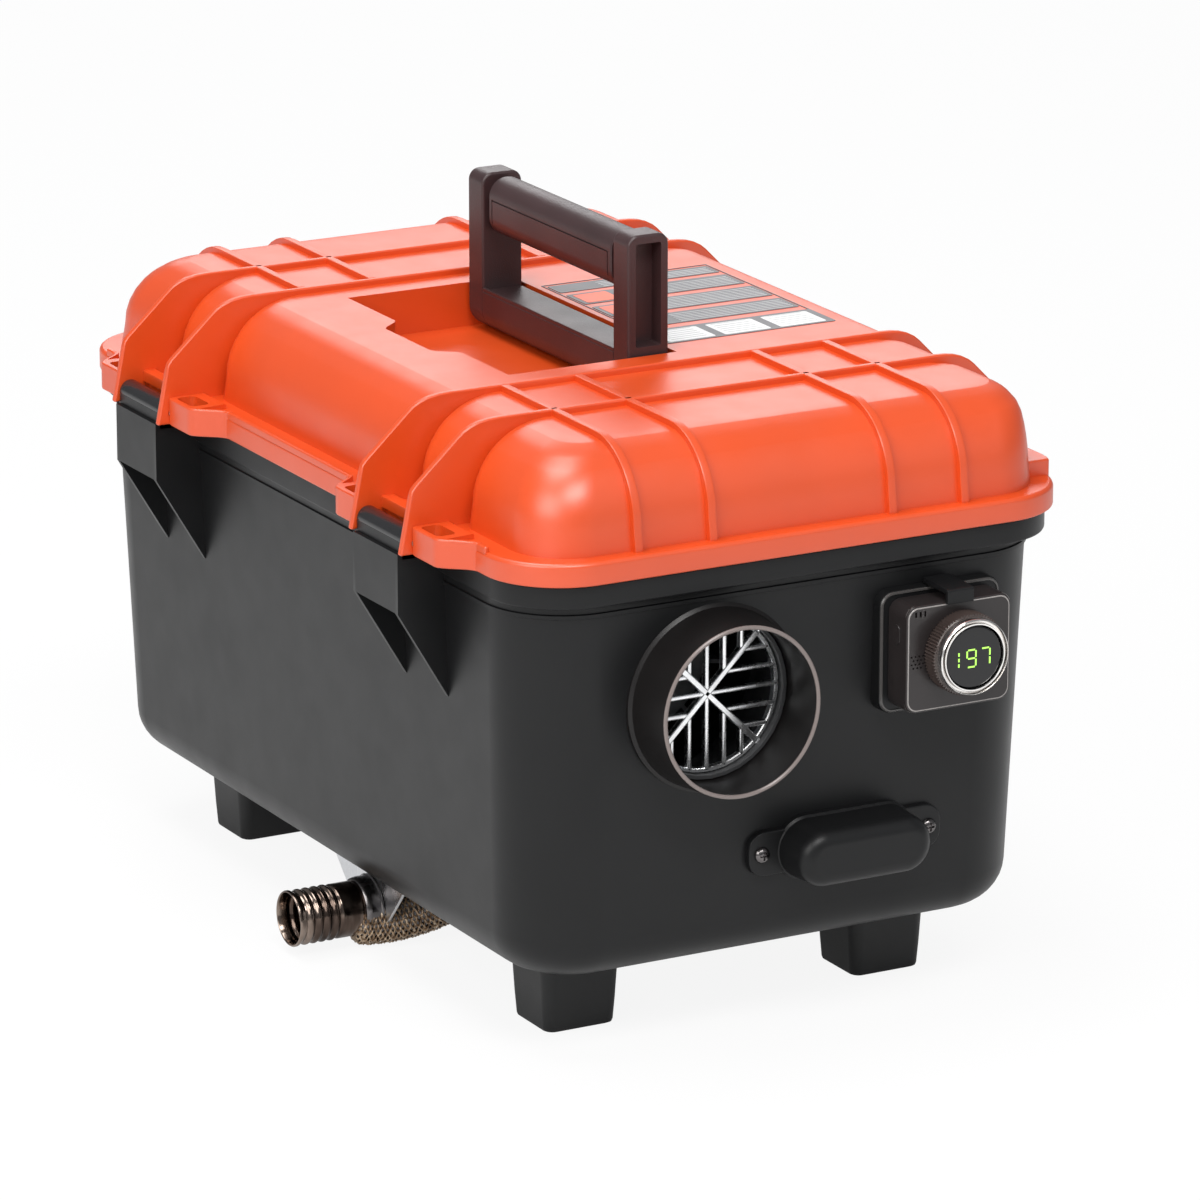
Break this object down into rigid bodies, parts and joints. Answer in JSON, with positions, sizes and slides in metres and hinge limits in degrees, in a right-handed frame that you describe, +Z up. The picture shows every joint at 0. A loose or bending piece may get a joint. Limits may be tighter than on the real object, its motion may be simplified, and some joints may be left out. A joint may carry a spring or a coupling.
{
  "type": "portable diesel air heater",
  "caption": "Portable diesel air heater in a tool-box case with a hinged orange lid, folding handle, round air outlet, controller with a knob, and a tank, pump and burner unit inside.",
  "frame": {"origin": "middle of the whole object's box in plan, at the ground under the feet", "axes": "+Z up; -Y out of the front face with the outlet and controller; -X towards the lid hinge and the exhaust stub"},
  "size_m": [0.3274, 0.502, 0.3435],
  "materials": {
    "lid_orange": "satin orange moulding",
    "case_black": "satin black moulding",
    "foot_rubber": "matte",
    "handle_brown": "fine texture",
    "display_dark": "glossy",
    "bright_steel": "satin",
    "exhaust_steel": "heat-tinted",
    "exhaust_wrap": "braided sleeve",
    "cast_aluminium": "as cast",
    "heater_casing": "matte",
    "tank_white": "natural",
    "cap_black": "matte",
    "hose_rubber": "satin",
    "board": "coated board",
    "plug_brass": "satin"
  },
  "bodies": {
    "case": {"tub": "case_black", "outlet_ring": "case_black", "controller_dock": "case_black", "controller_body": "case_black", "service_cover": "case_black", "intake_filter": "case_black", "intake_pipe": "case_black", "inlet_ring": "case_black", "inlet_grille": "case_black", "power_socket": "case_black", "foot_front_left": "foot_rubber", "foot_front_right": "foot_rubber", "foot_rear_left": "foot_rubber", "foot_rear_right": "foot_rubber", "pump_clip": "foot_rubber", "display": "display_dark", "hinge_pin_front": "bright_steel", "hinge_pin_rear": "bright_steel", "outlet_grille": "bright_steel", "cover_screw_left": "bright_steel", "cover_screw_right": "bright_steel", "exhaust_clamp": "bright_steel", "exhaust_hanger": "bright_steel", "motor_plate": "bright_steel", "fan_motor": "bright_steel", "heater_cradle": "bright_steel", "burner_tube": "bright_steel", "exhaust_stub": "exhaust_steel", "exhaust_pipe": "exhaust_wrap", "heat_exchanger": "cast_aluminium", "fuel_pump": "cast_aluminium", "heater_lower_casing": "heater_casing", "heater_upper_casing": "heater_casing", "outlet_duct": "heater_casing", "inlet_duct": "heater_casing", "fuel_tank": "tank_white", "fuel_filter": "tank_white", "fuel_hose_heater": "hose_rubber", "fuel_hose_tank": "hose_rubber", "control_board": "board", "glow_plug": "plug_brass"},
    "lid": {"lid": "lid_orange", "lid_seal": "foot_rubber", "latch_pin_front": "bright_steel", "latch_pin_rear": "bright_steel", "handle_pin_front": "bright_steel", "handle_pin_rear": "bright_steel"},
    "latch_front": {"latch_front": "case_black"},
    "latch_rear": {"latch_rear": "case_black"},
    "handle": {"handle_frame": "handle_brown", "handle_grip": "handle_brown"},
    "knob": {"controller_knob": "bright_steel"},
    "clip": {"controller_clip": "case_black"},
    "rotor": {"fan_shaft": "bright_steel", "combustion_fan": "cast_aluminium", "main_fan": "heater_casing"},
    "cap": {"fuel_cap": "cap_black"}
  },
  "joints": [
    {"name": "lid_hinge", "type": "hinge", "parent": "case", "child": "lid", "pos_m": [-0.1556, 0.01105, 0.2363], "axis": [0, -1, 0], "range_deg": [0, 105]},
    {"name": "latch_front_hinge", "type": "hinge", "parent": "lid", "child": "latch_front", "pos_m": [0.1554, -0.11595, 0.2399], "axis": [0, -1, 0], "range_deg": [0, 100]},
    {"name": "latch_rear_hinge", "type": "hinge", "parent": "lid", "child": "latch_rear", "pos_m": [0.1554, 0.13805, 0.2399], "axis": [0, -1, 0], "range_deg": [0, 100]},
    {"name": "handle_fold", "type": "hinge", "parent": "lid", "child": "handle", "pos_m": [0.00465, 0.01305, 0.27625], "axis": [0, -1, 0], "range_deg": [0, 90]},
    {"name": "knob_turn", "type": "hinge", "parent": "case", "child": "knob", "pos_m": [0.0719, -0.24395, 0.1785], "axis": [0, -1, 0], "continuous": true},
    {"name": "clip_release", "type": "hinge", "parent": "case", "child": "clip", "pos_m": [0.0704, -0.21825, 0.2063], "axis": [-1, 0, 0], "range_deg": [0, 10], "stiffness_Nm_per_rad": 0.01},
    {"name": "fan_spin", "type": "hinge", "parent": "case", "child": "rotor", "pos_m": [-0.0441, 0.08505, 0.1675], "axis": [0, -1, 0], "continuous": true},
    {"name": "fuel_cap_turn", "type": "hinge", "parent": "case", "child": "cap", "pos_m": [0.0729, 0.08105, 0.192], "axis": [0, 0, 1], "range_deg": [0, 90]}
  ]
}
